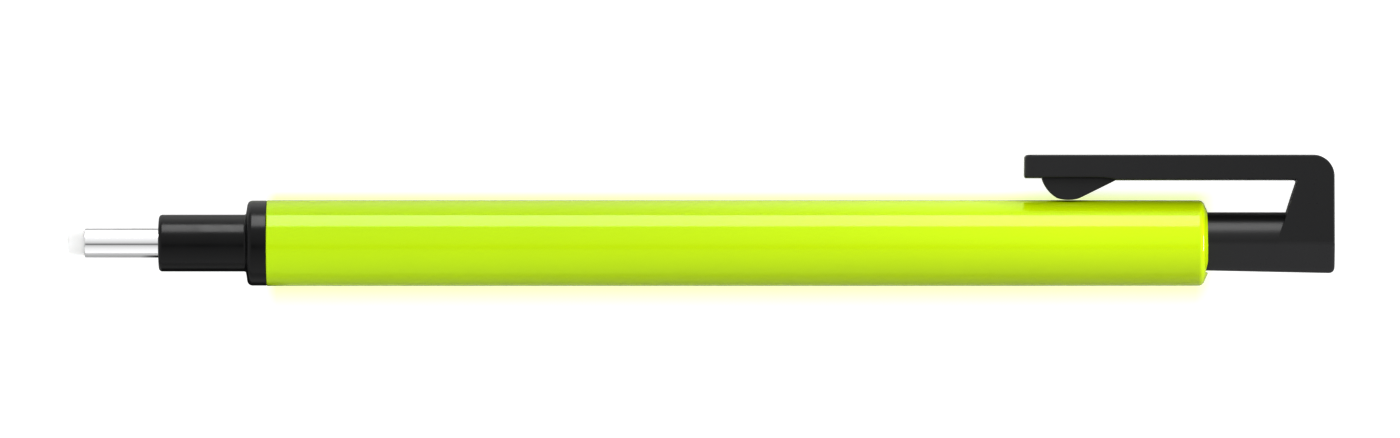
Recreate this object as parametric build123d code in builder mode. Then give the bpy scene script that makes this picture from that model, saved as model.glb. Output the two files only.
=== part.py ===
from build123d import *
import os
from math import tan, radians

# Knock-type holder for a round stick eraser, lying on its side.
# Millimetres. +X runs from the eraser end to the button, +Y is the side of
# the clip, +Z is up. The origin is on the axis, in the mouth of the pipe.

# ---- driving dimensions -------------------------------------------------
# eraser refill
ERASER_R = 1.15
ERASER_OUT = 1.64          # stands out of the pipe
ERASER_LEN = 86.0

# guide pipe
PIPE_R = 1.35
PIPE_BORE = 1.20
PIPE_SEAT_R = 1.58         # upset end, seated inside the nose
PIPE_HOLE_R = 1.38         # hole in the nose's face
PIPE_STEP_X = 7.02         # where the upset end starts
PIPE_END = 12.20

# nose cap
NOSE_FACE = 6.87
NOSE_R = 2.65
COLLAR_X0 = 15.10
COLLAR_R = 3.97
CHAMBER_R = 2.10           # retainer seat and chuck head's run
RING_CHAMBER_R = 2.35
RING_STOP_X = 18.15

# barrel
BARREL_X0 = 17.00
BARREL_X1 = 104.98         # crest of the rear face, at the opening
BARREL_R = 4.00
BARREL_REAR_R = 3.985      # the rear part drafts down very slightly
BARREL_STRAIGHT = 85.0     # end of the straight stretch
PLUG_R = 3.40              # counterbore for the nose's plug
BORE_R = 3.25
SHOULDER_X = 26.0
REAR_WALL_X = 103.20
PLUG_X1 = 24.0
SNAP_X = 20.0
SNAP_H = 0.08

# rubber retainer
RETAINER_X1 = 14.20
RETAINER_BORE = 1.18

# clutch
CHUCK_X0 = 18.60
HEAD_R = 2.00
HEAD_X1 = 21.20
CONE_R0, CONE_R1 = 1.83, 1.65
NECK_R = 1.60
NECK_X1 = 28.0
CHUCK_BODY_R = 1.65
CHUCK_X1 = 33.0
JAW_BORE = 1.165
CHUCK_BORE = 1.32
SLOT_W = 0.30
SLOT_X1 = 27.5
RING_X0, RING_X1 = 19.20, 20.80
RING_R, RING_BORE = 2.28, 1.85
SLEEVE_X0 = 20.85
SLEEVE_R, SLEEVE_BORE = 2.30, 1.80
FLANGE_X0 = 24.0

# spring
SPRING_X0, SPRING_X1 = 26.0, 40.0
SPRING_R = 2.45
WIRE_R = 0.20
SPRING_TURNS = 8.5

# connector
CONN_X0 = 30.30
CONN_R = 2.10
CONN_FLANGE_X1 = 41.30
CONN_FLANGE_R = 3.15
CONN_SOCKET_R = 2.60
CONN_X1 = 46.0

# inner tube
TUBE_R, TUBE_BORE = 2.00, 1.45
TUBE_X1 = 103.10

# knob: stem and button block
STEM_R = 2.87
STEM_X0 = 97.0
DRAFT = 18.0               # degrees, sides of the stem's lower half
KEEL_105 = 2.56            # depth of the lower half at x = 105
KEEL_SLOPE = 0.0209        # and how it deepens towards the rear
KEEL_ROUND = 0.55
SOCKET_R = 2.02
SOCKET_X1 = 103.15
CORE_R, CORE_X1 = 1.40, 110.0
REAR_X = 116.80
CORNER_R = 2.0
KEY_GAP = 0.08

# clip
ARM_TOP = 8.256
ARM_UNDER = 5.87
ARM_TIP_UNDER = 6.06
TIP_X = 87.85
BLOCK_HALF = STEM_R
UPPER_DRAFT = 6.0          # degrees, sides of the block and of the arm
SPLIT_X = 112.0            # where the arm springs from the block
INNER_X = 113.35           # inner corner under the arm
HOOK_HALF = 1.30
ARM_ROUND = 0.20           # lower long edges of the arm
TIP_PLAN_R = 0.85

os.makedirs("parts", exist_ok=True)


# ---- eraser: plain round stick, edges just broken -----------------------
with BuildPart() as eraser:
    with BuildSketch(Plane.XY):
        with BuildLine():
            e0 = (-ERASER_OUT, 0)
            e1 = (-ERASER_OUT, ERASER_R - 0.12)
            e2 = (-ERASER_OUT + 0.035, ERASER_R - 0.035)
            e3 = (-ERASER_OUT + 0.12, ERASER_R)
            ex = -ERASER_OUT + ERASER_LEN
            Line(e0, e1)
            ThreePointArc(e1, e2, e3)
            Polyline(e3, (ex - 0.1, ERASER_R), (ex, ERASER_R - 0.1), (ex, 0), e0)
        make_face()
    revolve(axis=Axis.X)
eraser.part.label = "eraser"

# ---- guide pipe: thin metal tube, its seated end upset to a shoulder -----
with BuildPart() as guide_pipe:
    with BuildSketch(Plane.XY):
        with BuildLine():
            Polyline(
                (0, PIPE_BORE + 0.05),
                (0, PIPE_R),
                (PIPE_STEP_X, PIPE_R),
                (PIPE_STEP_X, PIPE_SEAT_R),
                (PIPE_END, PIPE_SEAT_R),
                (PIPE_END, PIPE_BORE),
                (0.08, PIPE_BORE),
                close=True,
            )
        make_face()
    revolve(axis=Axis.X)
guide_pipe.part.label = "guide_pipe"

# ---- nose cap: grip cylinder, collar and the plug inside the barrel -----
with BuildPart() as nose_cap:
    with BuildSketch(Plane.XY):
        with BuildLine():
            n0 = (NOSE_FACE, PIPE_HOLE_R)
            n1 = (NOSE_FACE + 0.06, NOSE_R - 0.34)
            n2 = (NOSE_FACE + 0.155, NOSE_R - 0.10)
            n3 = (NOSE_FACE + 0.40, NOSE_R)
            f0 = (COLLAR_X0 - 0.20, NOSE_R)
            f1 = (COLLAR_X0 - 0.055, NOSE_R + 0.06)
            f2 = (COLLAR_X0, NOSE_R + 0.20)
            c0 = (COLLAR_X0 + 0.10, COLLAR_R - 0.50)
            c1 = (COLLAR_X0 + 0.235, COLLAR_R - 0.15)
            c2 = (COLLAR_X0 + 0.58, COLLAR_R)
            Line(n0, n1)
            ThreePointArc(n1, n2, n3)
            Line(n3, f0)
            ThreePointArc(f0, f1, f2)
            Line(f2, c0)
            ThreePointArc(c0, c1, c2)
            Polyline(
                c2,
                (BARREL_X0 - 0.06, COLLAR_R),
                (BARREL_X0, COLLAR_R - 0.06),
                (BARREL_X0, PLUG_R),
                (SNAP_X - 0.6, PLUG_R),
                (SNAP_X - 0.2, PLUG_R + SNAP_H),
                (SNAP_X + 0.2, PLUG_R + SNAP_H),
                (SNAP_X + 0.6, PLUG_R),
                (PLUG_X1 - 0.3, PLUG_R),
                (PLUG_X1, PLUG_R - 0.3),
                (PLUG_X1, RING_CHAMBER_R),
                (RING_STOP_X, RING_CHAMBER_R),
                (RING_STOP_X, CHAMBER_R),
                (PIPE_END, CHAMBER_R),
                (PIPE_END, PIPE_SEAT_R),
                (PIPE_STEP_X, PIPE_SEAT_R),
                (PIPE_STEP_X, PIPE_HOLE_R),
                n0,
            )
        make_face()
    revolve(axis=Axis.X)
nose_cap.part.label = "nose_cap"

# ---- barrel: tube with a shallow domed end and a keyed rear opening -----
with BuildPart() as barrel:
    with BuildSketch(Plane.XY):
        with BuildLine():
            b0 = (BARREL_X0, BARREL_R - 0.12)
            b1 = (BARREL_X0 + 0.035, BARREL_R - 0.035)
            b2 = (BARREL_X0 + 0.12, BARREL_R)
            b3 = (BARREL_STRAIGHT, BARREL_R)
            b4 = (BARREL_X1 - 0.83, BARREL_REAR_R)
            b5 = (BARREL_X1 - 0.46, BARREL_REAR_R - 0.145)
            b6 = (BARREL_X1 - 0.28, BARREL_REAR_R - 0.435)
            b7 = (BARREL_X1, STEM_R + KEY_GAP)
            Line((BARREL_X0, PLUG_R), b0)
            ThreePointArc(b0, b1, b2)
            Polyline(b2, b3, b4)
            ThreePointArc(b4, b5, b6)
            Polyline(
                b6,
                b7,
                (BARREL_X1, 0),
                (REAR_WALL_X, 0),
                (REAR_WALL_X, BORE_R - 0.15),
                (REAR_WALL_X - 0.15, BORE_R),
                (SHOULDER_X, BORE_R),
                (SHOULDER_X, PLUG_R),
                (SNAP_X + 0.6, PLUG_R),
                (SNAP_X + 0.2, PLUG_R + SNAP_H),
                (SNAP_X - 0.2, PLUG_R + SNAP_H),
                (SNAP_X - 0.6, PLUG_R),
                (BARREL_X0, PLUG_R),
            )
        make_face()
    revolve(axis=Axis.X)
    # keyed opening: round above, drafted sides and a flat floor below
    with BuildSketch(Plane.YZ.offset(REAR_WALL_X - 0.5)):
        k_top = STEM_R + KEY_GAP
        k_low = KEEL_105 + KEEL_SLOPE * 4.0 + 0.10
        k_half = k_top - k_low * tan(radians(DRAFT))
        Circle(k_top)
        with Locations((-k_top, 0)):
            Rectangle(2 * k_top, 4 * k_top, mode=Mode.SUBTRACT)
        with BuildLine():
            Polyline((0.01, -k_top), (0.01, k_top), (0, k_top), (-k_low, k_half),
                     (-k_low, -k_half), (0, -k_top), (0.01, -k_top))
        make_face()
    extrude(amount=3.0, mode=Mode.SUBTRACT)
barrel.part.label = "barrel"

# ---- retainer: soft ring with a waisted bore ---------------------------
with BuildPart() as eraser_retainer:
    with BuildSketch(Plane.XY):
        with BuildLine():
            xm = (PIPE_END + RETAINER_X1) / 2
            Polyline(
                (PIPE_END, PIPE_BORE + 0.12),
                (PIPE_END, CHAMBER_R),
                (RETAINER_X1, CHAMBER_R),
                (RETAINER_X1, RETAINER_BORE + 0.35),
                (xm + 0.35, RETAINER_BORE),
                (xm - 0.35, RETAINER_BORE),
                close=True,
            )
        make_face()
    revolve(axis=Axis.X)
eraser_retainer.part.label = "eraser_retainer"

# ---- sleeve: flanged bush between the nose's plug and the shoulder ------
with BuildPart() as chuck_sleeve:
    with BuildSketch(Plane.XY):
        with BuildLine():
            Polyline(
                (SLEEVE_X0, SLEEVE_BORE + 0.15),
                (SLEEVE_X0, SLEEVE_R - 0.10),
                (SLEEVE_X0 + 0.10, SLEEVE_R),
                (FLANGE_X0, SLEEVE_R),
                (FLANGE_X0, PLUG_R),
                (SPRING_X0, PLUG_R),
                (SPRING_X0, SLEEVE_BORE),
                (SLEEVE_X0 + 0.30, SLEEVE_BORE),
                close=True,
            )
        make_face()
    revolve(axis=Axis.X)
chuck_sleeve.part.label = "chuck_sleeve"

# ---- clutch ring -------------------------------------------------------
with BuildPart() as chuck_ring:
    with BuildSketch(Plane.XY):
        with BuildLine():
            Polyline(
                (RING_X0, RING_BORE),
                (RING_X0, RING_R - 0.12),
                (RING_X0 + 0.12, RING_R),
                (RING_X1 - 0.12, RING_R),
                (RING_X1, RING_R - 0.12),
                (RING_X1, RING_BORE),
                close=True,
            )
        make_face()
    revolve(axis=Axis.X)
chuck_ring.part.label = "chuck_ring"

# ---- chuck: flanged head, taper, long thin neck, three slits ------------
with BuildPart() as chuck:
    with BuildSketch(Plane.XY):
        with BuildLine():
            Polyline(
                (CHUCK_X0, JAW_BORE + 0.25),
                (CHUCK_X0, HEAD_R - 0.20),
                (CHUCK_X0 + 0.20, HEAD_R),
                (RING_X0 - 0.10, HEAD_R),
                (RING_X0 - 0.05, CONE_R0),
                (HEAD_X1, CONE_R1),
                (HEAD_X1 + 0.10, NECK_R),
                (NECK_X1, NECK_R),
                (NECK_X1, CHUCK_BODY_R),
                (CHUCK_X1, CHUCK_BODY_R),
                (CHUCK_X1, CHUCK_BORE),
                (HEAD_X1 + 0.3, CHUCK_BORE),
                (HEAD_X1, JAW_BORE),
                (CHUCK_X0 + 0.25, JAW_BORE),
                close=True,
            )
        make_face()
    revolve(axis=Axis.X)
    with BuildSketch(Plane.YZ.offset(CHUCK_X0 - 0.5)):
        with PolarLocations(1.5, 3):
            Rectangle(3.0, SLOT_W)
    extrude(amount=SLOT_X1 - CHUCK_X0 + 0.5, mode=Mode.SUBTRACT)
chuck.part.label = "chuck"

# ---- return spring: round wire, plain ends ------------------------------
SPRING_LEN = SPRING_X1 - SPRING_X0 - 2 * WIRE_R - 0.04
with BuildPart() as return_spring:
    with BuildLine() as coil:
        Helix(
            pitch=SPRING_LEN / SPRING_TURNS,
            height=SPRING_LEN,
            radius=SPRING_R,
            center=(SPRING_X0 + WIRE_R + 0.02, 0, 0),
            direction=(1, 0, 0),
        )
    with BuildSketch(Plane(origin=coil.line @ 0, z_dir=coil.line % 0)):
        Circle(WIRE_R)
    sweep(path=coil.line, is_frenet=True)
return_spring.part.label = "return_spring"

# ---- connector: sleeve on the chuck, spring flange, socket for the tube -
with BuildPart() as chuck_connector:
    with BuildSketch(Plane.XY):
        with BuildLine():
            Polyline(
                (CONN_X0, CHUCK_BODY_R),
                (CONN_X0, CONN_R - 0.15),
                (CONN_X0 + 0.15, CONN_R),
                (SPRING_X1, CONN_R),
                (SPRING_X1, CONN_FLANGE_R),
                (CONN_FLANGE_X1, CONN_FLANGE_R),
                (CONN_FLANGE_X1, CONN_SOCKET_R),
                (CONN_X1, CONN_SOCKET_R),
                (CONN_X1, TUBE_R),
                (CONN_FLANGE_X1, TUBE_R),
                (CONN_FLANGE_X1, CHUCK_BORE),
                (CHUCK_X1, CHUCK_BORE),
                (CHUCK_X1, CHUCK_BODY_R),
                close=True,
            )
        make_face()
    revolve(axis=Axis.X)
chuck_connector.part.label = "chuck_connector"

# ---- inner tube: stores the eraser, funnel at its loading end ----------
with BuildPart() as eraser_tube:
    with BuildSketch(Plane.XY):
        with BuildLine():
            Polyline(
                (CONN_FLANGE_X1, TUBE_BORE),
                (CONN_FLANGE_X1, TUBE_R),
                (TUBE_X1 - 0.15, TUBE_R),
                (TUBE_X1, TUBE_R - 0.15),
                (TUBE_X1, TUBE_BORE + 0.25),
                (TUBE_X1 - 0.6, TUBE_BORE),
                close=True,
            )
        make_face()
    revolve(axis=Axis.X)
eraser_tube.part.label = "eraser_tube"


# ---- knob: stem and button block ---------------------------------------
# The mould parts at y = 0: above it the stem is a half round and the sides
# of block and arm lean in towards the clip, below it they lean in again.
def keel(x):
    depth = KEEL_105 + KEEL_SLOPE * (x - 105.0)
    return depth, STEM_R - depth * tan(radians(DRAFT))


def side(y):
    """Half width of the block and the arm at height y."""
    return STEM_R - y * tan(radians(UPPER_DRAFT))


with BuildPart() as knob:
    # upper half of the stem
    with BuildSketch(Plane.YZ.offset(STEM_X0)):
        Circle(STEM_R)
        with Locations((-STEM_R, 0)):
            Rectangle(2 * STEM_R, 4 * STEM_R, mode=Mode.SUBTRACT)
    extrude(amount=REAR_X - STEM_X0 - 1.0)
    # lower half, deepening towards the rear
    for x in (STEM_X0, REAR_X):
        d, w = keel(x)
        with BuildSketch(Plane.YZ.offset(x)):
            with BuildLine():
                Polyline((0, -STEM_R), (0, STEM_R), (-d, w), (-d, -w), close=True)
            make_face()
    loft(ruled=True)
    keel_edges = (
        knob.edges()
        .filter_by(lambda e: e.length > 15 and e.center().Y < -1.5)
    )
    fillet(keel_edges, KEEL_ROUND)
    # button block with the arm's root
    with BuildSketch(Plane.XY.offset(-BLOCK_HALF)):
        with BuildLine():
            Polyline(
                (111.30, 0),
                (112.40, 2.90),
                (INNER_X - 0.05, ARM_UNDER + 0.12),
                (INNER_X - 0.22, ARM_UNDER),
                (SPLIT_X, ARM_UNDER),
                (SPLIT_X, ARM_TOP),
                (REAR_X, ARM_TOP),
                (REAR_X, 0),
                close=True,
            )
        make_face()
    extrude(amount=2 * BLOCK_HALF)
    for k in (1, -1):
        with BuildSketch(Plane.YZ.offset(111.30)):
            with BuildLine():
                Polyline(
                    (0, k * side(0)),
                    (9.0, k * side(9.0)),
                    (9.0, k * 4.0),
                    (0, k * 4.0),
                    close=True,
                )
            make_face()
        extrude(amount=6.5, mode=Mode.SUBTRACT)
    top_corner = (
        knob.edges()
        .filter_by(Axis.Z)
        .filter_by(lambda e: e.center().X > REAR_X - 0.1 and e.center().Y > ARM_TOP - 0.1)
    )
    fillet(top_corner, CORNER_R)
    low_corner = (
        knob.edges()
        .filter_by(Axis.Z)
        .filter_by(lambda e: e.center().X > REAR_X - 0.1 and e.center().Y < -2.0)
    )
    fillet(low_corner, 0.35)
    # socket over the inner tube, and the core that lightens the moulding
    with BuildSketch(Plane.YZ.offset(STEM_X0 - 1.0)):
        Circle(SOCKET_R)
    extrude(amount=SOCKET_X1 - STEM_X0 + 1.0, mode=Mode.SUBTRACT)
    with BuildSketch(Plane.YZ.offset(SOCKET_X1 - 0.1)):
        Circle(CORE_R)
    extrude(amount=CORE_X1 - SOCKET_X1 + 0.1, mode=Mode.SUBTRACT)
knob.part.label = "knob"

# ---- clip arm with its hook --------------------------------------------
with BuildPart() as clip_arm:
    # side view
    with BuildSketch(Plane.XY.offset(-BLOCK_HALF)):
        with BuildLine():
            t0 = (TIP_X, ARM_TIP_UNDER + 0.15)
            t1 = (TIP_X, ARM_TOP - 0.33)
            t2 = (TIP_X + 0.10, ARM_TOP - 0.10)
            t3 = (TIP_X + 0.33, ARM_TOP)
            Line(t0, t1)
            ThreePointArc(t1, t2, t3)
            Polyline(
                t3,
                (SPLIT_X - 0.02, ARM_TOP),
                (SPLIT_X - 0.02, ARM_UNDER),
                (96.0, ARM_UNDER),
                (95.4, ARM_TIP_UNDER),
                (TIP_X + 0.15, ARM_TIP_UNDER),
                t0,
            )
        make_face()
    extrude(amount=2 * BLOCK_HALF)
    # cross section: drafted sides, lower edges rounded
    with BuildSketch(Plane.YZ.offset(TIP_X - 1.0)):
        with BuildLine():
            u, t, r = ARM_UNDER, ARM_TOP + 1, ARM_ROUND
            v = side(u + r)
            q = r * (1 - 0.70710678)
            Polyline((u + r, v), (t, side(t)), (t, -side(t)), (u + r, -v))
            ThreePointArc((u + r, -v), (u + q, -v + q), (u, -v + r))
            Line((u, -v + r), (u, v - r))
            ThreePointArc((u, v - r), (u + q, v - q), (u + r, v))
        make_face()
    extrude(amount=SPLIT_X - TIP_X + 2.0, mode=Mode.INTERSECT)
    # plan view, corners of the tip rounded
    with BuildSketch(Plane.XZ.offset(-ARM_TOP - 1.0)):
        with Locations(((TIP_X + SPLIT_X + 5.0) / 2, 0)):
            RectangleRounded(SPLIT_X - TIP_X + 5.0, 2 * side(ARM_UNDER), TIP_PLAN_R)
    extrude(amount=4.0, mode=Mode.INTERSECT)
    with BuildSketch(Plane.XY.offset(-HOOK_HALF)):
        with BuildLine():
            h0 = (89.54, 6.30)
            h1 = (89.54, 5.90)
            h2 = (90.10, 4.93)
            h3 = (90.97, 4.21)
            h4 = (91.95, 4.04)
            h5 = (93.02, 4.21)
            h6 = (96.42, 5.90)
            h7 = (96.42, 6.30)
            Line(h0, h1)
            ThreePointArc(h1, h2, h3)
            ThreePointArc(h3, h4, h5)
            Polyline(h5, h6, h7, h0)
        make_face()
    extrude(amount=2 * HOOK_HALF)
clip_arm.part.label = "clip_arm"

for piece in (
    eraser,
    guide_pipe,
    nose_cap,
    barrel,
    eraser_retainer,
    chuck_sleeve,
    chuck_ring,
    chuck,
    return_spring,
    chuck_connector,
    eraser_tube,
    knob,
    clip_arm,
):
    export_step(piece.part, f"parts/{piece.part.label}.step")
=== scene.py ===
import math

import bmesh
import bpy
import numpy as np
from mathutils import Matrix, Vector


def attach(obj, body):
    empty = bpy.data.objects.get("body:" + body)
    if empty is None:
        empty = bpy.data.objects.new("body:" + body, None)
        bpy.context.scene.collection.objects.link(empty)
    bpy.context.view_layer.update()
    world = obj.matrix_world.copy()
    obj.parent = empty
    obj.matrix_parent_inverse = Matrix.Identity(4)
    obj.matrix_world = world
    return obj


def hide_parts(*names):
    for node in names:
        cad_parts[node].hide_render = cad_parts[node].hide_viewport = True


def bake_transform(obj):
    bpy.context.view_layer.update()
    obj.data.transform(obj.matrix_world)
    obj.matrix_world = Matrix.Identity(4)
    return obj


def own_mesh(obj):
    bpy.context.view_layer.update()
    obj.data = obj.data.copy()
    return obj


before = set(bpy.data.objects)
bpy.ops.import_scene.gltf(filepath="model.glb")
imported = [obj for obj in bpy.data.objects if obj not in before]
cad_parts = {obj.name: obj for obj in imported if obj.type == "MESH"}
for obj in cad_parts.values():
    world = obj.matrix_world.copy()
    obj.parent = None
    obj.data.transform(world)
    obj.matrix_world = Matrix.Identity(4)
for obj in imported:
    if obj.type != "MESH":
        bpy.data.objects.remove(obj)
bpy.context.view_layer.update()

MM = 0.001
PI = math.pi


# =====================================================================
# camera: straight down, the holder's axis across the picture
# =====================================================================
cam_data = bpy.data.cameras.new("camera")
cam = bpy.data.objects.new("camera", cam_data)
bpy.context.scene.collection.objects.link(cam)
cam_data.sensor_width = 36.0
cam_data.lens = 385.7
cam_data.clip_start = 0.05
cam_data.clip_end = 20.0
cam.location = (0.05753, 0.00225, 1.403)
cam.rotation_euler = (0.0, 0.0, 0.0)
bpy.context.scene.camera = cam


# =====================================================================
# small node helpers
# =====================================================================
def new_material(name):
    m = bpy.data.materials.new(name)
    m.use_nodes = True
    nt = m.node_tree
    return m, nt, nt.nodes["Principled BSDF"]


def node(nt, kind, **values):
    n = nt.nodes.new(kind)
    for k, v in values.items():
        if hasattr(n, k):
            setattr(n, k, v)
        else:
            n.inputs[k].default_value = v
    return n


def position(nt, scale=(1, 1, 1)):
    """Object position in metres, scaled: the pieces' own coordinates are the part's."""
    tc = node(nt, "ShaderNodeTexCoord")
    mp = node(nt, "ShaderNodeMapping")
    mp.inputs["Scale"].default_value = scale
    nt.links.new(tc.outputs["Object"], mp.inputs["Vector"])
    return mp.outputs["Vector"]


def noise(nt, vector, scale, detail=3.0, rough=0.5, distortion=0.0):
    n = node(nt, "ShaderNodeTexNoise")
    n.inputs["Scale"].default_value = scale
    n.inputs["Detail"].default_value = detail
    n.inputs["Roughness"].default_value = rough
    n.inputs["Distortion"].default_value = distortion
    nt.links.new(vector, n.inputs["Vector"])
    return n.outputs["Fac"]


def ranged(nt, value, lo, hi, from_lo=0.0, from_hi=1.0):
    n = node(nt, "ShaderNodeMapRange")
    n.inputs["From Min"].default_value = from_lo
    n.inputs["From Max"].default_value = from_hi
    n.inputs["To Min"].default_value = lo
    n.inputs["To Max"].default_value = hi
    nt.links.new(value, n.inputs["Value"])
    return n.outputs["Result"]


def mixed(nt, fac, a, b):
    n = node(nt, "ShaderNodeMix")
    n.data_type = "RGBA"
    n.inputs["A"].default_value = (*a, 1)
    n.inputs["B"].default_value = (*b, 1)
    nt.links.new(fac, n.inputs["Factor"])
    return n.outputs["Result"]


def bumped(nt, bsdf, parts):
    """parts: list of (height output, strength, distance in metres), chained."""
    last = None
    for height, strength, distance in parts:
        b = node(nt, "ShaderNodeBump")
        b.inputs["Strength"].default_value = strength
        b.inputs["Distance"].default_value = distance
        nt.links.new(height, b.inputs["Height"])
        if last is not None:
            nt.links.new(last, b.inputs["Normal"])
        last = b.outputs["Normal"]
    nt.links.new(last, bsdf.inputs["Normal"])


# =====================================================================
# materials
# =====================================================================
def lime_material():
    m, nt, p = new_material("lime_gloss")
    v = position(nt)
    cloud = noise(nt, v, 90.0, 3.0)
    fleck = noise(nt, v, 2600.0, 2.0)
    base = mixed(nt, ranged(nt, cloud, 0.0, 1.0, 0.3, 0.7), (0.985, 0.985, 1.0), (1.0, 1.0, 1.0))
    # painted shade: the lime is coloured darker and yellower towards the rear end, standing in for the change
    # in light along the barrel
    along = node(nt, "ShaderNodeSeparateXYZ")
    nt.links.new(v, along.inputs["Vector"])
    lime_and_painted_shade = mixed(nt, ranged(nt, along.outputs["X"], 0.0, 1.0, 0.020, 0.105), (0.652, 0.865, 0.002), (0.648, 0.815, 0.002))
    both = node(nt, "ShaderNodeMix", data_type="RGBA", blend_type="MULTIPLY")
    both.inputs["Factor"].default_value = 1.0
    nt.links.new(lime_and_painted_shade, both.inputs[6])
    nt.links.new(base, both.inputs[7])
    nt.links.new(both.outputs[2], p.inputs["Base Color"])
    nt.links.new(ranged(nt, fleck, 0.085, 0.135, 0.3, 0.7), p.inputs["Roughness"])
    flow = noise(nt, position(nt, (0.25, 1, 1)), 420.0, 2.0)
    bumped(nt, p, [(flow, 0.22, 6.0e-6), (fleck, 0.10, 1.2e-6)])
    p.inputs["IOR"].default_value = 1.5
    p.inputs["Specular Tint"].default_value = (0.55, 1.0, 0.88, 1.0)
    return m


def gloss_black_material():
    m, nt, p = new_material("black_gloss_moulded")
    v = position(nt)
    cloud = noise(nt, v, 500.0, 3.0)
    fleck = noise(nt, v, 5200.0, 2.0)
    base = mixed(nt, cloud, (0.0014, 0.0014, 0.0020), (0.0026, 0.0026, 0.0034))
    nt.links.new(base, p.inputs["Base Color"])
    nt.links.new(ranged(nt, cloud, 0.19, 0.27, 0.3, 0.7), p.inputs["Roughness"])
    bumped(nt, p, [(cloud, 0.35, 1.2e-5), (fleck, 0.20, 2.0e-6)])
    p.inputs["IOR"].default_value = 1.47
    return m


def satin_black_material():
    m, nt, p = new_material("black_satin_moulded")
    v = position(nt)
    cloud = noise(nt, v, 260.0, 3.0)
    grain = noise(nt, v, 9000.0, 3.0, 0.6)
    base = mixed(nt, cloud, (0.033, 0.033, 0.035), (0.039, 0.039, 0.041))
    # painted shade: the half above the parting line is coloured darker, more so towards the block, standing in
    # for shade there
    where = node(nt, "ShaderNodeSeparateXYZ")
    nt.links.new(v, where.inputs["Vector"])
    upper = ranged(nt, where.outputs["Y"], 0.0, 1.0, -0.0002, 0.0002)
    rear = ranged(nt, where.outputs["X"], 0.66, 0.50, 0.090, 0.114)
    painted_shade_level = node(nt, "ShaderNodeMix", data_type="FLOAT")
    nt.links.new(upper, painted_shade_level.inputs[0])
    painted_shade_level.inputs[2].default_value = 1.0
    nt.links.new(rear, painted_shade_level.inputs[3])
    painted_shade_grey = node(nt, "ShaderNodeCombineColor")
    for k in range(3):
        nt.links.new(painted_shade_level.outputs[0], painted_shade_grey.inputs[k])
    both = node(nt, "ShaderNodeMix", data_type="RGBA", blend_type="MULTIPLY")
    both.inputs[0].default_value = 1.0
    nt.links.new(base, both.inputs[6])
    nt.links.new(painted_shade_grey.outputs["Color"], both.inputs[7])
    nt.links.new(both.outputs[2], p.inputs["Base Color"])
    nt.links.new(ranged(nt, grain, 0.27, 0.35, 0.3, 0.7), p.inputs["Roughness"])
    bumped(nt, p, [(grain, 0.35, 4.0e-6), (cloud, 0.20, 8.0e-6)])
    p.inputs["IOR"].default_value = 1.5
    return m


def pipe_material():
    m, nt, p = new_material("drawn_bright_metal")
    streak = noise(nt, position(nt, (0.03, 1, 1)), 9000.0, 3.0, 0.6)
    cloud = noise(nt, position(nt), 700.0, 2.0)
    base = mixed(nt, streak, (0.67, 0.67, 0.675), (0.71, 0.71, 0.715))
    nt.links.new(base, p.inputs["Base Color"])
    p.inputs["Metallic"].default_value = 1.0
    nt.links.new(ranged(nt, streak, 0.03, 0.07, 0.3, 0.7), p.inputs["Roughness"])
    bumped(nt, p, [(streak, 0.12, 1.0e-6), (cloud, 0.10, 3.0e-6)])
    return m


def eraser_material():
    m, nt, p = new_material("white_elastomer")
    v = position(nt)
    cloud = noise(nt, v, 900.0, 3.0)
    grain = noise(nt, v, 16000.0, 3.0, 0.65)
    base = mixed(nt, cloud, (0.95, 0.95, 0.945), (0.98, 0.98, 0.975))
    nt.links.new(base, p.inputs["Base Color"])
    nt.links.new(ranged(nt, grain, 0.55, 0.75, 0.3, 0.7), p.inputs["Roughness"])
    bumped(nt, p, [(grain, 0.5, 6.0e-6), (cloud, 0.25, 1.5e-5)])
    p.inputs["Subsurface Weight"].default_value = 0.12
    p.inputs["Subsurface Radius"].default_value = (1.0, 0.95, 0.9)
    p.inputs["Subsurface Scale"].default_value = 0.0004
    p.inputs["IOR"].default_value = 1.45
    return m


def acetal_material():
    m, nt, p = new_material("natural_acetal")
    v = position(nt)
    cloud = noise(nt, v, 400.0, 2.0)
    grain = noise(nt, v, 7000.0, 2.0)
    nt.links.new(mixed(nt, cloud, (0.70, 0.70, 0.68), (0.78, 0.78, 0.76)), p.inputs["Base Color"])
    nt.links.new(ranged(nt, grain, 0.32, 0.46, 0.3, 0.7), p.inputs["Roughness"])
    bumped(nt, p, [(grain, 0.3, 3.0e-6)])
    return m


def brass_material():
    m, nt, p = new_material("turned_brass")
    rings = noise(nt, position(nt, (1, 0.04, 0.04)), 14000.0, 2.0, 0.6)
    cloud = noise(nt, position(nt), 800.0, 2.0)
    nt.links.new(mixed(nt, cloud, (0.72, 0.53, 0.24), (0.80, 0.61, 0.30)), p.inputs["Base Color"])
    p.inputs["Metallic"].default_value = 1.0
    nt.links.new(ranged(nt, rings, 0.20, 0.36, 0.3, 0.7), p.inputs["Roughness"])
    bumped(nt, p, [(rings, 0.25, 2.0e-6)])
    return m


def wire_material():
    m, nt, p = new_material("spring_wire")
    cloud = noise(nt, position(nt), 1500.0, 2.0)
    grain = noise(nt, position(nt), 20000.0, 2.0)
    nt.links.new(mixed(nt, cloud, (0.52, 0.52, 0.54), (0.64, 0.64, 0.66)), p.inputs["Base Color"])
    p.inputs["Metallic"].default_value = 1.0
    nt.links.new(ranged(nt, grain, 0.22, 0.36, 0.3, 0.7), p.inputs["Roughness"])
    bumped(nt, p, [(grain, 0.2, 1.5e-6)])
    return m


def rubber_material():
    m, nt, p = new_material("soft_rubber")
    grain = noise(nt, position(nt), 9000.0, 3.0)
    nt.links.new(mixed(nt, grain, (0.035, 0.035, 0.036), (0.055, 0.055, 0.056)), p.inputs["Base Color"])
    nt.links.new(ranged(nt, grain, 0.55, 0.75, 0.3, 0.7), p.inputs["Roughness"])
    bumped(nt, p, [(grain, 0.4, 5.0e-6)])
    return m


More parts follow.
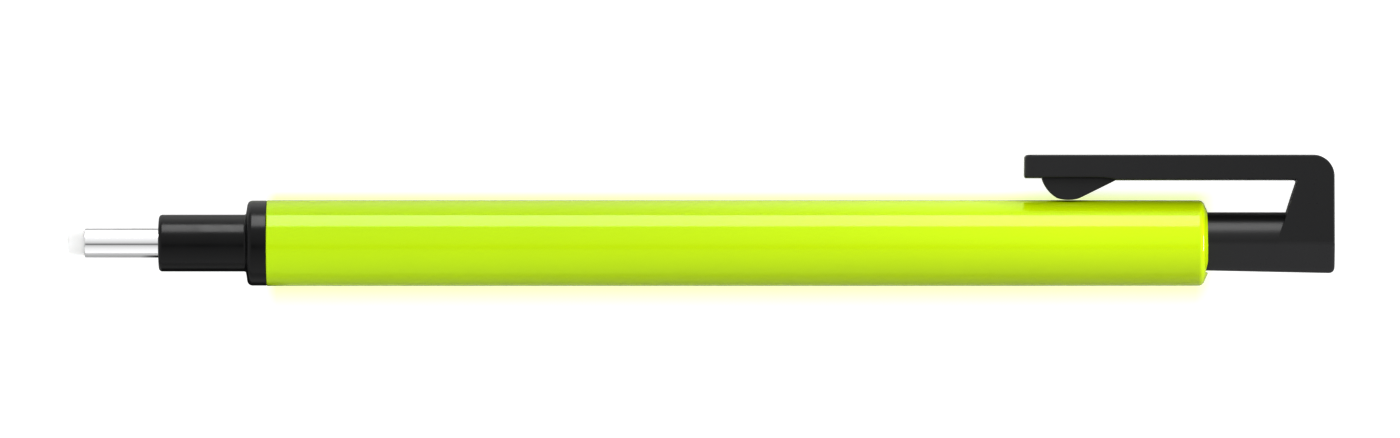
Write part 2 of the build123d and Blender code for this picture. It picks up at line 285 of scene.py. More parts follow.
LIME = lime_material()
GLOSS = gloss_black_material()
SATIN = satin_black_material()
METAL = pipe_material()
WHITE = eraser_material()
ACETAL = acetal_material()
BRASS = brass_material()
WIRE = wire_material()
RUBBER = rubber_material()


# =====================================================================
# mesh helpers (millimetres in, metres out)
# =====================================================================
def arc(p0, pm, p1, n):
    """Points on the circle through three points, ends included."""
    (ax, ay), (bx, by), (cx, cy) = p0, pm, p1
    d = 2 * (ax * (by - cy) + bx * (cy - ay) + cx * (ay - by))
    ux = ((ax**2 + ay**2) * (by - cy) + (bx**2 + by**2) * (cy - ay) + (cx**2 + cy**2) * (ay - by)) / d
    uy = ((ax**2 + ay**2) * (cx - bx) + (bx**2 + by**2) * (ax - cx) + (cx**2 + cy**2) * (bx - ax)) / d
    r = math.hypot(ax - ux, ay - uy)
    a0, am, a1 = (math.atan2(y - uy, x - ux) for x, y in (p0, pm, p1))
    turn = (a1 - a0) % (2 * PI)
    if (am - a0) % (2 * PI) > turn:
        turn -= 2 * PI
    return [(ux + r * math.cos(a0 + turn * i / n), uy + r * math.sin(a0 + turn * i / n)) for i in range(n + 1)]


def corner(prev, at, nxt, r, n=5):
    """Rounds the corner at `at` between two neighbours with radius r."""
    a = Vector(prev) - Vector(at)
    b = Vector(nxt) - Vector(at)
    a.normalize(), b.normalize()
    half = math.acos(max(-1, min(1, a.dot(b)))) / 2
    t = r / math.tan(half)
    p0, p1 = Vector(at) + a * t, Vector(at) + b * t
    centre = Vector(at) + (a + b).normalized() * (r / math.sin(half))
    mid = centre + (Vector(at) - centre).normalized() * r
    return arc(tuple(p0), tuple(mid), tuple(p1), n)


def rounded(points, radii, closed=True):
    """A polygon's points with each corner rounded by its own radius (0 keeps it)."""
    out, n = [], len(points)
    for i, (p, r) in enumerate(zip(points, radii)):
        if r <= 0 or (not closed and i in (0, n - 1)):
            out.append(p)
        else:
            out += corner(points[i - 1], p, points[(i + 1) % n], r)
    return out


def supported(points, closed=True, reach=0.03, least=0.25, step=None):
    """Adds a point close to each end of every long straight run, so that flats shade flat."""
    out, n = [], len(points)
    for i in range(n if closed else n - 1):
        a, b = Vector(points[i]), Vector(points[(i + 1) % n])
        out.append(tuple(a))
        length = (b - a).length
        if length > least:
            d = (b - a) / length
            out.append(tuple(a + d * reach))
            if step:
                k = int(length // step)
                out += [tuple(a + d * (length * j / (k + 1))) for j in range(1, k + 1)]
            out.append(tuple(b - d * reach))
    if not closed:
        out.append(tuple(points[-1]))
    return out


def make_object(name, verts, faces, material, sharp=16.0):
    me = bpy.data.meshes.new(name)
    me.from_pydata([(x * MM, y * MM, z * MM) for x, y, z in verts], [], faces)
    me.validate()
    bm = bmesh.new()
    bm.from_mesh(me)
    bmesh.ops.remove_doubles(bm, verts=bm.verts, dist=2e-7)
    bmesh.ops.dissolve_degenerate(bm, edges=bm.edges, dist=1e-7)
    bmesh.ops.recalc_face_normals(bm, faces=bm.faces)
    bm.to_mesh(me)
    bm.free()
    for poly in me.polygons:
        poly.use_smooth = True
    me.set_sharp_from_angle(angle=math.radians(sharp))
    me.materials.append(material)
    o = bpy.data.objects.new(name, me)
    bpy.context.scene.collection.objects.link(o)
    return o


def lathe(name, profile, material, segs=192, sharp=24.0):
    """Revolves a closed (x, r) loop round the X axis. Points on the axis become poles."""
    verts, faces, rings = [], [], []
    for x, r in profile:
        if r < 1e-6:
            rings.append([len(verts)])
            verts.append((x, 0, 0))
        else:
            rings.append(list(range(len(verts), len(verts) + segs)))
            for k in range(segs):
                a = 2 * PI * k / segs
                verts.append((x, r * math.cos(a), r * math.sin(a)))
    n = len(rings)
    for i in range(n):
        a, b = rings[i], rings[(i + 1) % n]
        if len(a) == 1 and len(b) == 1:
            continue
        for k in range(segs):
            k2 = (k + 1) % segs
            if len(a) == 1:
                faces.append((a[0], b[k2], b[k]))
            elif len(b) == 1:
                faces.append((a[k], a[k2], b[0]))
            else:
                faces.append((a[k], a[k2], b[k2], b[k]))
    return make_object(name, verts, faces, material, sharp)


# =====================================================================
# eraser
# =====================================================================
OUT, LEN, R_E = 1.64, 86.0, 1.15
e_rear = LEN - OUT
profile = [(-OUT, 0.0), (-OUT, 0.55)]
profile += arc((-OUT + 0.004, R_E - 0.20), (-OUT + 0.060, R_E - 0.062), (-OUT + 0.20, R_E), 8)
profile += [(-OUT + 0.26, R_E)]
profile += [(x, R_E) for x in np.linspace(0.5, e_rear - 1.0, 40)]
profile += [(e_rear - 0.10, R_E)]
profile += arc((e_rear - 0.06, R_E), (e_rear - 0.018, R_E - 0.018), (e_rear, R_E - 0.06), 4)
profile += [(e_rear, 0.4), (e_rear, 0.0)]
eraser = lathe("eraser_stick", profile, WHITE, 96)
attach(eraser, "eraser")
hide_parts("eraser")

# =====================================================================
# guide pipe: rolled lip at the mouth, upset end in the nose
# =====================================================================
P_R, P_BORE, P_SEAT, P_STEP, P_END = 1.35, 1.20, 1.58, 7.02, 12.20
profile = supported(
    rounded(
        [(0.0, P_BORE), (0.0, P_R), (P_STEP, P_R), (P_STEP, P_SEAT), (P_END, P_SEAT), (P_END, P_BORE)],
        [0.06, 0.055, 0, 0.03, 0.05, 0.03],
    ),
    step=1.0,
)
pipe = lathe("metal_pipe", profile, METAL, 160)
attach(pipe, "holder")
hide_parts("guide_pipe")

# =====================================================================
# nose cap
# =====================================================================
N_FACE, N_R, C_X0, C_R, B_X0 = 6.87, 2.65, 15.10, 3.97, 17.00
PLUG_R, SNAP_X, SNAP_H, PLUG_X1 = 3.40, 20.0, 0.08, 24.0
HOLE_R, CHAMBER_R, RING_R, RING_X = 1.38, 2.10, 2.35, 18.15
outer = [(N_FACE, HOLE_R + 0.03), (N_FACE + 0.01, HOLE_R + 0.10), (N_FACE + 0.055, N_R - 0.37)]
outer += arc((N_FACE + 0.06, N_R - 0.34), (N_FACE + 0.155, N_R - 0.10), (N_FACE + 0.40, N_R), 10)
outer += [(N_FACE + 0.44, N_R)]
outer += [(x, N_R) for x in np.linspace(7.8, 14.4, 12)]
outer += [(C_X0 - 0.24, N_R)]
outer += arc((C_X0 - 0.20, N_R), (C_X0 - 0.055, N_R + 0.06), (C_X0, N_R + 0.20), 7)
outer += [(C_X0 + 0.01, N_R + 0.25), (C_X0 + 0.09, C_R - 0.55)]
outer += arc((C_X0 + 0.10, C_R - 0.50), (C_X0 + 0.235, C_R - 0.15), (C_X0 + 0.58, C_R), 12)
outer += [(C_X0 + 0.62, C_R), (16.2, C_R), (B_X0 - 0.08, C_R)]
outer += arc((B_X0 - 0.06, C_R), (B_X0 - 0.017, C_R - 0.017), (B_X0, C_R - 0.06), 4)
inner = [
    (B_X0, PLUG_R), (SNAP_X - 0.6, PLUG_R), (SNAP_X - 0.2, PLUG_R + SNAP_H), (SNAP_X + 0.2, PLUG_R + SNAP_H),
    (SNAP_X + 0.6, PLUG_R), (PLUG_X1 - 0.3, PLUG_R), (PLUG_X1, PLUG_R - 0.3), (PLUG_X1, RING_R),
    (RING_X, RING_R), (RING_X, CHAMBER_R), (P_END, CHAMBER_R), (P_END, P_SEAT), (P_STEP, P_SEAT),
    (P_STEP, HOLE_R), (N_FACE + 0.03, HOLE_R),
]
nose = lathe("nose_moulding", outer + supported(inner, closed=False), GLOSS, 192)
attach(nose, "holder")
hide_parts("nose_cap")

# =====================================================================
# barrel: lathe outside, keyed opening through the rear wall
# =====================================================================
B_R, B_REAR_R, B_X1, B_STRAIGHT = 4.0, 3.985, 104.98, 85.0
BORE_R, SHOULDER_X, WALL_X = 3.25, 26.0, 103.20
STEM_R, KEY = 2.87, 0.08
TAN = math.tan(math.radians(18.0))
KEEL_105, KEEL_SLOPE, KEEL_ROUND = 2.56, 0.0209, 0.55
k_top = STEM_R + KEY
k_low = KEEL_105 + KEEL_SLOPE * 4.0 + 0.10
k_half = k_top - k_low * TAN
SEG_B = 256


def key_radius(a):
    """Distance from the axis to the opening's outline, in direction (cos a, sin a) = (y, z)."""
    c, s = math.cos(a), abs(math.sin(a))
    if c >= 0:
        return k_top
    best = k_low / -c
    # side: z = k_top + y * TAN, with y = -t * |c|
    t = k_top / (s + TAN * -c)
    return min(best, t)


def barrel_mesh():
    prof = [(B_X0, B_R - 0.16)]
    prof += arc((B_X0, B_R - 0.12), (B_X0 + 0.035, B_R - 0.035), (B_X0 + 0.12, B_R), 6)
    prof += [(B_X0 + 0.16, B_R)]
    prof += [(x, B_R) for x in np.linspace(18.0, 84.0, 67)]
    prof += [(B_STRAIGHT, B_R)]
    corner_x = B_X1 - 0.83
    prof += [(x, B_R + (B_REAR_R - B_R) * (x - B_STRAIGHT) / (corner_x - B_STRAIGHT)) for x in np.linspace(86, 104.0, 19)]
    prof += arc((corner_x, B_REAR_R), (B_X1 - 0.46, B_REAR_R - 0.145), (B_X1 - 0.28, B_REAR_R - 0.435), 14)
    verts, faces, rings = [], [], []

    def ring(fn):
        ids = []
        for k in range(SEG_B):
            a = 2 * PI * k / SEG_B
            x, r = fn(a)
            ids.append(len(verts))
            verts.append((x, r * math.cos(a), r * math.sin(a)))
        rings.append(ids)

    for x, r in prof:
        ring(lambda a, x=x, r=r: (x, r))
    # shallow dome, ending in a broken edge that follows the keyed opening
    dome_r = B_REAR_R - 0.435

    def dome_x(r):
        return B_X1 - 0.28 * max(0.0, (r - k_top) / (dome_r - k_top))

    for t in (0.06, 0.18, 0.35, 0.55, 0.75, 0.92):
        def on_dome(a, t=t):
            r = dome_r + (key_radius(a) + 0.06 - dome_r) * t
            return dome_x(r), r
        ring(on_dome)
    for off, dx in ((0.06, 0.0), (0.038, -0.004), (0.018, -0.018), (0.004, -0.038), (0.0, -0.06)):
        ring(lambda a, off=off, dx=dx: (dome_x(key_radius(a) + off) + dx, key_radius(a) + off))
    ring(lambda a: (WALL_X + 0.03, key_radius(a)))
    ring(lambda a: (WALL_X, key_radius(a) + 0.03))
    ring(lambda a: (WALL_X, max(BORE_R - 0.15, key_radius(a) + 0.035)))
    for x, r in [
        (WALL_X - 0.15, BORE_R), (WALL_X - 0.2, BORE_R), (SHOULDER_X, BORE_R), (SHOULDER_X, PLUG_R),
        (SNAP_X + 0.6, PLUG_R), (SNAP_X + 0.2, PLUG_R + SNAP_H), (SNAP_X - 0.2, PLUG_R + SNAP_H),
        (SNAP_X - 0.6, PLUG_R), (B_X0 + 0.03, PLUG_R), (B_X0, PLUG_R + 0.03),
    ]:
        ring(lambda a, x=x, r=r: (x, r))
    n = len(rings)
    for i in range(n):
        a, b = rings[i], rings[(i + 1) % n]
        for k in range(SEG_B):
            k2 = (k + 1) % SEG_B
            faces.append((a[k], a[k2], b[k2], b[k]))
    return make_object("barrel_tube", verts, faces, LIME, 24.0)


barrel = barrel_mesh()
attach(barrel, "holder")
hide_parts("barrel")

# =====================================================================
# knob and clip, built from side outlines stacked across the width
# =====================================================================
H = STEM_R                       # half width everywhere
STEM_X0, REAR_X = 97.0, 116.80
TOP, UNDER, TIP_UNDER, TIP_X = 8.256, 5.87, 6.06, 87.85
UPPER = math.tan(math.radians(6.0))  # sides of block and arm lean in towards the clip
HOOK_HALF = 1.55                 # before that lean is applied
EDGE = 0.16                      # broken edge of the block and the arm's top
UNDER_EDGE = 0.12                # edge under the arm
DRAFT = math.tan(math.radians(2.0))
TIP_EDGE = 0.85                  # tip's corners seen from above the clip
REAR_ROUND = 2.0
SPLIT = 111.30                   # block's foot, where the stem's piece ends


def inset(r, w):
    """How far an edge of radius r has pulled in at half width w."""
    t = w - (H - r)
    if t <= 0:
        return 0.0
    t = min(t, r)
    return r - math.sqrt(max(r * r - t * t, 0.0))


def front_x(y):
    if y <= 2.90:
        return 111.30 + y * (1.10 / 2.90)
    return 112.40 + (y - 2.90) * (0.90 / 3.09)


def front_in(y, w):
    """The block's slanted face: drafted side and small edge, fading out down the stem."""
    t = max(0.0, min(1.0, (y - 2.4) / (UNDER - 2.4)))
    return t * t * w * DRAFT + inset(0.07 + 0.05 * t, w)


def under_in(w):
    return w * DRAFT + inset(UNDER_EDGE, w)


def keel_y(x, w):
    """Underside of stem and block at half width w: flat bottom, round, drafted side."""
    d = KEEL_105 + KEEL_SLOPE * (x - 105.0)
    wc = H - d * TAN
    w1 = wc - 0.7265 * KEEL_ROUND
    w2 = wc + 0.2245 * KEEL_ROUND
    if w <= w1:
        return -d
    if w <= w2:
        return -d + KEEL_ROUND - math.sqrt(max(KEEL_ROUND**2 - (w - w1) ** 2, 0.0))
    return -(H - w) / TAN


def levels(radii, extra=()):
    """Half widths at which an outline is drawn."""
    ws = [H * math.sin(math.radians(a)) for a in list(range(0, 86, 5)) + [87.5, 90]]
    for r in radii:
        ws += [H - r + r * math.sin(math.radians(b)) for b in np.linspace(0, 90, 10)]
    ws = sorted(ws + list(extra))
    out = [ws[0]]
    for w in ws[1:]:
        if w - out[-1] > 0.006:
            out.append(w)
        elif w in extra or w == H:
            out[-1] = w
    out[-1] = H
    return out


KEEL_LEVELS = tuple(np.arange(1.45, 2.25, 0.05))


HOOK = (
    [(96.42, 5.90), (95.6, 5.492), (94.8, 5.094), (94.1, 4.747), (93.5, 4.449)]
    + arc((93.02, 4.21), (91.95, 4.045), (90.97, 4.21), 12)
    + arc((90.97, 4.21), (90.10, 4.93), (89.54, 5.90), 12)[1:]
)
HOOK[4:6] = corner((94.1, 4.747), (93.02, 4.215), (92.5, 4.08), 0.9, 3)
HOOK_RISE = 0.10


def under_y(x):
    if x >= 96.0:
        return UNDER
    if x <= 95.4:
        return TIP_UNDER
    return UNDER + (TIP_UNDER - UNDER) * (96.0 - x) / 0.6


def block_outline(w, hook, extra=0.0, hook_in=0.0):
    """Outline in (x, y) from the block's front foot round the inner corner, the underside,
    the hook, the tip, the top and down to the rear foot. Same number of points for any w."""
    e_top = inset(EDGE, w) + extra
    e_und = under_in(w) + extra
    e_tip = inset(TIP_EDGE, w) + extra
    yc = UNDER + e_und
    xc = front_x(yc) + front_in(yc, w) + extra
    yl = yc - 0.8
    xl = front_x(yl) + front_in(yl, w) + extra
    pts = []
    for y in [extra, extra + 0.03] + list(np.linspace(extra, yc - 0.19, 24)[1:]):
        pts.append((front_x(y) + front_in(y, w) + extra, y))
    pts += corner((xl, yl), (xc, yc), (xc - 1.0, yc), 0.17, 6)
    for x in (112.6, 112.0, 111.0, 110.0, 109.0, 108.0, 107.0, 106.0, 105.0, 104.0, 103.0, 102.0, 101.0, 100.0, 99.0, 98.0, 97.2, 96.7, 96.47):
        pts.append((x, under_y(x) + e_und))
    # hook, or the plain underside behind it
    n = len(HOOK)
    for i, (hx, hy) in enumerate(HOOK):
        if hook:
            a = Vector(HOOK[max(i - 1, 0)])
            b = Vector(HOOK[min(i + 1, n - 1)])
            t = (b - a).normalized()
            nx, ny = t.y, -t.x      # points into the hook
            if ny < 0:
                nx, ny = -nx, -ny
            pts.append((hx + nx * hook_in, min(hy + ny * hook_in, under_y(hx) + e_und + 0.03)))
        else:
            pts.append((hx, under_y(hx) + e_und))
    # front part of the underside
    yu, xt, yt = TIP_UNDER + e_und, TIP_X + e_tip, TOP - e_top
    for x in (89.49, 89.3):
        pts.append((x, yu))
    pts += [(xt + (89.3 - xt) * f, yu) for f in (0.66, 0.33)]
    pts += corner((xt + 1, yu), (xt, yu), (xt, yu + 1), 0.16, 5)
    pts += [(xt, yu + 0.30), (xt, (yu + yt) / 2), (xt, yt - 0.45)]
    pts += corner((xt, yt - 1), (xt, yt), (xt + 1, yt), 0.33, 8)
    # top and rear corner
    pts += [(x, yt) for x in [xt + 0.4, xt + 1.0] + list(np.arange(90.0, 114.6, 0.75)) + [114.7]]
    xr = REAR_X - e_top
    pts += corner((xr - 3, yt), (xr, yt), (xr, yt - 3), REAR_ROUND - e_top, 18)
    pts += [(xr, 6.2), (xr, 5.0), (xr, 4.0), (xr, 3.0), (xr, 2.0), (xr, 1.0), (xr, 0.3), (xr, 0.10 + extra), (xr, extra)]
    return pts


def foot_outline(w):
    """From the block's rear foot down, round the bottom corner and forward to the split."""
    e = inset(EDGE, w)
    xr = REAR_X - e
    yb = keel_y(REAR_X - 0.5, w)
    rho = max(min(0.50, -yb * 0.9), 0.004)
    pts = []
    for f in (0.33, 0.66):
        pts.append((xr, (yb + rho) * f))
    pts += corner((xr, yb + rho + 1), (xr, yb), (xr - 3, yb), rho, 6)
    # the corner was rounded on a level line: follow the keel's slope forward of it
    xs = np.linspace(xr - rho - 0.05, SPLIT, 9)
    pts += [(x, keel_y(x, w)) for x in xs]
    return pts


def stack(layers):
    """layers: list of (z, [(x, y)...]) with the same number of points each."""
    verts, faces, ids = [], [], []
    for z, pts in layers:
        ids.append(list(range(len(verts), len(verts) + len(pts))))
        verts += [(x, y, z) for x, y in pts]
    for a, b in zip(ids, ids[1:]):
        for i in range(len(a) - 1):
            faces.append((a[i], a[i + 1], b[i + 1], b[i]))
    return verts, faces, ids


def side_caps(verts, faces, ends, rim, count):
    """Closes both flat sides: a narrow ring inside the outline, then one face."""
    for layer, z in ends:
        inner = list(range(len(verts), len(verts) + count))
        verts += [(x, y, z) for x, y in rim]
        for i in range(count):
            k = (i + 1) % count
            faces.append((layer[i], layer[k], inner[k], inner[i]))
        faces.append(tuple(inner))


def mirrored_layers(half):
    return [(-w, p) for w, p in reversed(half[1:])] + half


def clip_mesh():
    half = []
    extra = (HOOK_HALF - 0.09, HOOK_HALF - 0.04, HOOK_HALF - 0.012, HOOK_HALF, HOOK_HALF + 0.02)
    for w in levels((EDGE, UNDER_EDGE, TIP_EDGE), tuple(KEEL_LEVELS) + extra):
        t = w - (HOOK_HALF - 0.09)
        h_in = 0.0 if t <= 0 else 0.09 - math.sqrt(max(0.09**2 - min(t, 0.09) ** 2, 0.0))
        foot = foot_outline(w)
        if w < HOOK_HALF - 1e-6:
            half.append((w, block_outline(w, True, hook_in=h_in) + foot))
        elif abs(w - HOOK_HALF) < 1e-6:
            half.append((w, block_outline(w, True, hook_in=0.09) + foot))
            half.append((w, block_outline(w, True, hook_in=0.13) + foot))
            half.append((w, block_outline(w, False) + foot))
        else:
            half.append((w, block_outline(w, False) + foot))
    verts, faces, ids = stack(mirrored_layers(half))
    rim = block_outline(H, False, extra=0.035)
    side_caps(verts, faces, ((ids[0], -H), (ids[-1], H)), rim, len(rim))
    # the block's foot, towards the stem: closed by one face across the split
    faces.append(tuple([l[0] for l in ids] + [l[-1] for l in reversed(ids)]))
    verts = [(x, y, z * (H - UPPER * max(y, 0.0)) / H) for x, y, z in verts]
    return make_object("knob_clip", verts, faces, SATIN, 16.0)


clip = clip_mesh()


def stem_mesh():
    """Stem from its open front end to inside the block, socket included."""
    ws = levels((EDGE, 0.48), KEEL_LEVELS)
    xs = [STEM_X0, STEM_X0 + 0.04] + list(np.linspace(97.5, 111.0, 28)) + [SPLIT - 0.03, SPLIT]
    x_in = 114.0
    # section loop at x: top half circle from +H over to -H, then the underside back
    top = list(reversed(ws)) + [-w for w in ws[1:]]        # z from H to -H
    low = [-w for w in reversed(ws)][1:] + ws[1:-1]        # z from just above -H to just below H
    verts, faces, rings = [], [], []

    def section(x, grow=0.0):
        pts = []
        for z in top:
            pts.append((x, math.sqrt(max(H * H - z * z, 0.0)), z))
        for z in low:
            pts.append((x, keel_y(x, abs(z)), z))
        return pts

    def ring(pts):
        rings.append(list(range(len(verts), len(verts) + len(pts))))
        verts.extend(pts)

    # socket and core, from the inside out, with the same number of points
    outer = section(STEM_X0)
    angles = [math.atan2(z, y) for _, y, z in outer]

    def circle(x, r):
        return [(x, r * math.cos(a), r * math.sin(a)) for a in angles]

    for x, r in ((110.0, 0.35), (110.0, 1.37), (109.97, 1.40), (103.18, 1.40), (103.15, 1.43), (103.15, 1.99), (103.12, 2.02), (97.14, 2.02), (97.12, 2.03), (97.02, 2.11), (97.0, 2.14)):
        ring(circle(x, r))
    # front face, then its broken outer edge
    blend_pts = []
    for (x, y, z), a in zip(outer, angles):
        r = math.hypot(y, z)
        blend_pts.append((STEM_X0, (r - 0.12) * math.cos(a), (r - 0.12) * math.sin(a)))
    ring(blend_pts)
    pts = []
    for (x, y, z), a in zip(outer, angles):
        r = math.hypot(y, z)
        pts.append((STEM_X0 + 0.035, (r - 0.03) * math.cos(a), (r - 0.03) * math.sin(a)))
    ring(pts)
    for x in [STEM_X0 + 0.12] + list(np.linspace(97.5, 111.0, 28)) + [SPLIT - 0.03]:
        ring(section(x))
    # last part: the upper half runs on into the block, the underside stops at the block's foot
    last = []
    for z in top:
        y = math.sqrt(max(H * H - z * z, 0.0))
        last.append((front_x(y) + (0.25 if y > 0.02 else 0.0), y * 0.999, z * 0.999))
    for z in low:
        last.append((SPLIT, keel_y(SPLIT, abs(z)), z))
    ring(last)
    n = len(outer)
    for a, b in zip(rings, rings[1:]):
        for i in range(n):
            j = (i + 1) % n
            faces.append((a[i], a[j], b[j], b[i]))
    c0 = len(verts)
    verts.append((110.0, 0, 0))
    verts.append((SPLIT + 0.3, 0.2, 0))
    for i in range(n):
        j = (i + 1) % n
        faces.append((rings[0][i], c0, rings[0][j]))
        faces.append((rings[-1][i], rings[-1][j], c0 + 1))
    return make_object("knob_stem", verts, faces, SATIN, 16.0)


stem = stem_mesh()
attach(stem, "knob")
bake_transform(clip)
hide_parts("clip_arm", "knob")
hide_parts("knob")


# =====================================================================
# return spring: round wire wound at an even pitch, its two ends capped
# =====================================================================
def spring_mesh():
    x0, x1, r, wire, turns = 26.0, 40.0, 2.45, 0.20, 8.5
    lo, hi = x0 + wire + 0.02, x1 - wire - 0.02
    steps, ring_n = 8 * 48, 14
    centres, verts, faces, rings = [], [], [], []
    for i in range(steps + 1):
        t = i / steps
        a = 2 * PI * turns * t
        x = lo + (hi - lo) * t
        centres.append(Vector((x, r * math.cos(a), r * math.sin(a))))
    for i, c in enumerate(centres):
        d = (centres[min(i + 1, steps)] - centres[max(i - 1, 0)]).normalized()
        out = Vector((0, c.y, c.z)).normalized()
        side = d.cross(out).normalized()
        out = side.cross(d).normalized()
        rings.append(list(range(len(verts), len(verts) + ring_n)))
        for k in range(ring_n):
            b = 2 * PI * k / ring_n
            verts.append(tuple(c + out * (wire * math.cos(b)) + side * (wire * math.sin(b))))
    for a, b in zip(rings, rings[1:]):
        for k in range(ring_n):
            k2 = (k + 1) % ring_n
            faces.append((a[k], a[k2], b[k2], b[k]))
    faces.append(tuple(rings[0]))
    faces.append(tuple(rings[-1]))
    return make_object("coil_spring", verts, faces, WIRE, 40.0)


spring = spring_mesh()
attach(spring, "holder")
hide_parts("return_spring")
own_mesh(spring)


# =====================================================================
# inner CAD pieces keep their shape and get their finish
# =====================================================================
FINISH = {
    "chuck": (BRASS, "brass_parts"),
    "chuck_ring": (BRASS, "brass_parts"),
    "chuck_sleeve": (ACETAL, "inner_plastic"),
    "chuck_connector": (ACETAL, "inner_plastic"),
    "eraser_tube": (ACETAL, "inner_plastic"),
    "eraser_retainer": (RUBBER, "soft_ring"),
}
for name, (material, slot_name) in FINISH.items():
    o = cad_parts[name]
    o.data.materials.clear()
    o.data.materials.append(material)
    for poly in o.data.polygons:
        poly.material_index = 0


# =====================================================================
# stage: white table, tent-like surround, one softbox on the clip's side
# =====================================================================
floor_me = bpy.data.meshes.new("table_top")
S = 3.0
floor_me.from_pydata([(-S, -S, -0.004), (S, -S, -0.004), (S, S, -0.004), (-S, S, -0.004)], [], [(0, 1, 2, 3)])
floor = bpy.data.objects.new("table_top", floor_me)
bpy.context.scene.collection.objects.link(floor)
fm = bpy.data.materials.new("white_table")
fm.use_nodes = True
fnt = fm.node_tree
fnt.nodes.clear()
rays = node(fnt, "ShaderNodeLightPath")
where = node(fnt, "ShaderNodeSeparateXYZ")
fnt.links.new(node(fnt, "ShaderNodeTexCoord").outputs["Object"], where.inputs["Vector"])


def product(nt, a, b, operation="MULTIPLY"):
    n = node(nt, "ShaderNodeMath", operation=operation)
    for i, v in enumerate((a, b)):
        if isinstance(v, (int, float)):
            n.inputs[i].default_value = v
        else:
            nt.links.new(v, n.inputs[i])
    return n.outputs["Value"]


# lime light thrown on the table right beside the barrel
glow = product(
    fnt,
    ranged(fnt, where.outputs["Y"], 1.0, 0.0, 0.00425, 0.00500),
    ranged(fnt, where.outputs["Y"], 0.0, 1.0, -0.00660, -0.00415),
)
for lo, hi in ((0.0166, 0.0178), (0.1058, 0.1040)):
    glow = product(fnt, glow, ranged(fnt, where.outputs["X"], 0.0, 1.0, lo, hi))
shown = mixed(fnt, glow, (0.95, 0.95, 0.95), (0.87, 0.94, 0.58))
diffuse = node(fnt, "ShaderNodeBsdfDiffuse")


def mixed_in(nt, fac, a, b):
    n = mixed(nt, fac, (0, 0, 0), b).node
    nt.links.new(a, n.inputs["A"])
    return n.outputs["Result"]


# the side away from the lamp is darker close to the holder
far = ranged(fnt, where.outputs["Y"], 0.0, 1.0, -0.0075, -0.0115)
near = ranged(fnt, where.outputs["Y"], 0.0, 1.0, -0.0010, 0.0030)
bright = product(fnt, far, near, "MAXIMUM")
under_nose = product(
    fnt,
    ranged(fnt, where.outputs["X"], 0.0, 1.0, 0.0050, 0.0065),
    ranged(fnt, where.outputs["X"], 0.0, 1.0, 0.0190, 0.0170),
)
least = product(fnt, product(fnt, under_nose, 0.75), 0.85, "SUBTRACT")
least = product(fnt, least, -1.0)
bright = product(fnt, bright, least, "MAXIMUM")
mirror_albedo = mixed(fnt, bright, (0.0, 0.0, 0.0), (0.90, 0.90, 0.90))
albedo = mixed(fnt, rays.outputs["Is Glossy Ray"], (0.45, 0.45, 0.45), (0.90, 0.90, 0.90))
fnt.links.new(mirror_albedo, albedo.node.inputs["B"])
albedo = mixed_in(fnt, rays.outputs["Is Camera Ray"], albedo, (0.20, 0.20, 0.20))
fnt.links.new(albedo, diffuse.inputs["Color"])
# the lamp's side of the table is brighter
lit = ranged(fnt, where.outputs["Y"], 0.0, 1.0, 0.0055, 0.0120)
for lo, hi in ((-0.0200, -0.0120), (0.0920, 0.0860)):
    lit_x = ranged(fnt, where.outputs["X"], 0.0, 1.0, lo, hi)
    lit = product(fnt, lit, lit_x)
lit_soft = product(fnt, ranged(fnt, where.outputs["Y"], 0.0, 1.0, 0.0045, 0.0090), 0.55)
# painted light: the table glows for diffuse rays under the tip, brightening the eraser
painted_tip_light = product(fnt, ranged(fnt, where.outputs["X"], 0.0, 1.0, 0.0070, 0.0005), 2.0)
lit_soft = product(fnt, lit_soft, painted_tip_light, "MAXIMUM")
seen = node(fnt, "ShaderNodeEmission")
fnt.links.new(shown, seen.inputs["Color"])
fnt.links.new(rays.outputs["Is Camera Ray"], seen.inputs["Strength"])
mirrored = node(fnt, "ShaderNodeEmission")
fnt.links.new(
    product(
        fnt,
        product(fnt, rays.outputs["Is Glossy Ray"], product(fnt, lit, 1.0)),
        product(fnt, rays.outputs["Is Diffuse Ray"], lit_soft),
        "ADD",
    ),
    mirrored.inputs["Strength"],
)
add1 = node(fnt, "ShaderNodeAddShader")
add2 = node(fnt, "ShaderNodeAddShader")
fnt.links.new(diffuse.outputs["BSDF"], add1.inputs[0])
fnt.links.new(seen.outputs["Emission"], add1.inputs[1])
fnt.links.new(add1.outputs["Shader"], add2.inputs[0])
fnt.links.new(mirrored.outputs["Emission"], add2.inputs[1])
fnt.links.new(add2.outputs["Shader"], node(fnt, "ShaderNodeOutputMaterial").inputs["Surface"])
fm.cycles.emission_sampling = "NONE"
floor_me.materials.append(fm)

world = bpy.data.worlds.new("tent")
bpy.context.scene.world = world
world.use_nodes = True
wnt = world.node_tree
bg = wnt.nodes["Background"]
tc = wnt.nodes.new("ShaderNodeTexCoord")
sep = wnt.nodes.new("ShaderNodeSeparateXYZ")
wnt.links.new(tc.outputs["Generated"], sep.inputs["Vector"])
ramp = wnt.nodes.new("ShaderNodeValToRGB")
ramp.color_ramp.interpolation = "LINEAR"
els = ramp.color_ramp.elements
stops = ((0.50, 1.08), (0.707, 1.04), (0.866, 0.95), (0.940, 0.86), (0.985, 0.76), (0.9925, 0.62), (0.9975, 0.36), (1.0, 0.30))
els[0].position, els[0].color = stops[0][0], (stops[0][1],) * 3 + (1,)
els[1].position, els[1].color = stops[-1][0], (stops[-1][1],) * 3 + (1,)
for at_, level in stops[1:-1]:
    e = els.new(at_)
    e.color = (level,) * 3 + (1,)
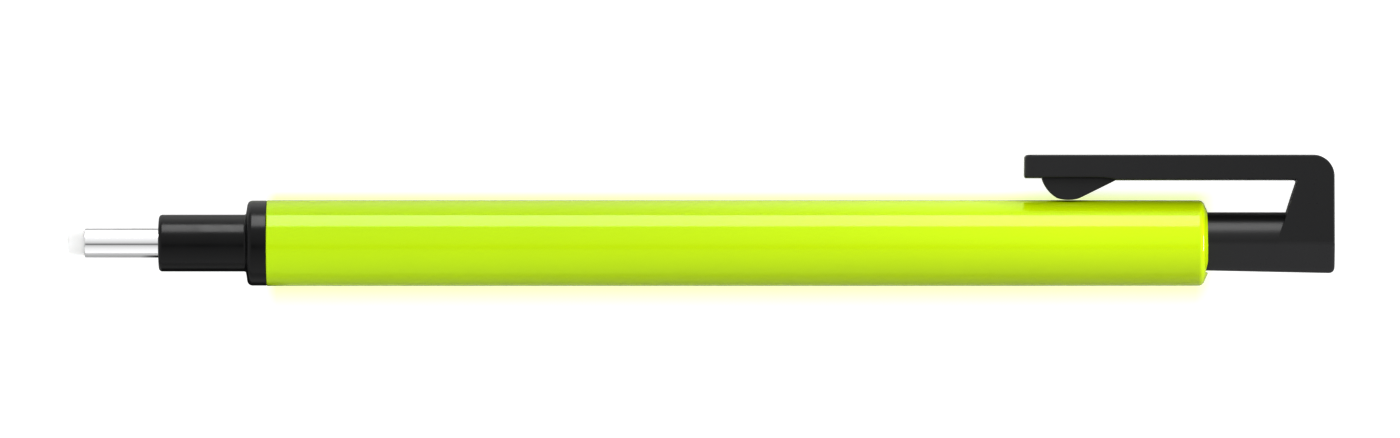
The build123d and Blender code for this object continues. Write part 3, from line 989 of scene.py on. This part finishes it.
# seen in gloss, the darkest spot lies a little off the zenith
off = wnt.nodes.new("ShaderNodeVectorMath")
off.operation = "DOT_PRODUCT"
off.inputs[1].default_value = (0.0, -math.sin(math.radians(10.0)), math.cos(math.radians(10.0)))
wnt.links.new(tc.outputs["Generated"], off.inputs[0])
wnt.links.new(off.outputs["Value"], ramp.inputs["Fac"])
wrays = wnt.nodes.new("ShaderNodeLightPath")
gloss_level = product(wnt, ramp.outputs["Color"], 1.35)
soft_level = product(wnt, product(wnt, sep.outputs["Z"], sep.outputs["Z"]), 1.88)


def chosen(nt, fac, a, b):
    n = nt.nodes.new("ShaderNodeMix")
    n.data_type = "FLOAT"
    for name, v in (("Factor", fac), ("A", a), ("B", b)):
        if isinstance(v, (int, float)):
            n.inputs[name].default_value = v
        else:
            nt.links.new(v, n.inputs[name])
    return n.outputs["Result"]


level = chosen(wnt, wrays.outputs["Is Diffuse Ray"], gloss_level, soft_level)
level = chosen(wnt, wrays.outputs["Is Camera Ray"], level, 1.06)
wnt.links.new(level, bg.inputs["Strength"])
bg.inputs["Color"].default_value = (1, 1, 1, 1)
world.cycles.sampling_method = "NONE"


def softbox(name, centre, direction, width, length, radiance):
    data = bpy.data.lights.new(name, "AREA")
    data.shape = "RECTANGLE"
    data.size = length
    data.size_y = width
    data.energy = radiance * PI * width * length
    o = bpy.data.objects.new(name, data)
    bpy.context.scene.collection.objects.link(o)
    o.location = centre
    o.rotation_euler = Vector(direction).to_track_quat("-Z", "Y").to_euler()
    return o


ang, dist = math.radians(63.5), 0.80
aim = Vector((0.058, 0, 0))
at = aim + Vector((0, math.sin(ang), math.cos(ang))) * dist
key = softbox("key", at, aim - at, 0.50, 0.34, 6.0)
# the panel's long side runs along the holder
key.rotation_euler = (-ang, 0, 0)
key.visible_diffuse = False
# a second, low panel beyond the rear end
side_ang = math.radians(81.0)
at = aim + Vector((math.sin(side_ang), 0, math.cos(side_ang))) * dist
side = softbox("side", at, aim - at, 0.16, 0.34, 26.0)
# a soft fill close to the clip, not mirrored anywhere
aim = Vector((0.098, 0, 0))
at = aim + Vector((0, math.sin(math.radians(52)), math.cos(math.radians(52)))) * 0.05
fill = softbox("fill", at, aim - at, 0.03, 0.03, 2.5)
fill.visible_glossy = False
fill.visible_camera = False

scene = bpy.context.scene
scene.view_settings.view_transform = "Standard"
scene.view_settings.look = "None"
scene.view_settings.exposure = 0.0
scene.view_settings.gamma = 0.667
scene.cycles.use_denoising = True
scene.cycles.max_bounces = 8
scene.cycles.caustics_reflective = False
scene.cycles.caustics_refractive = False
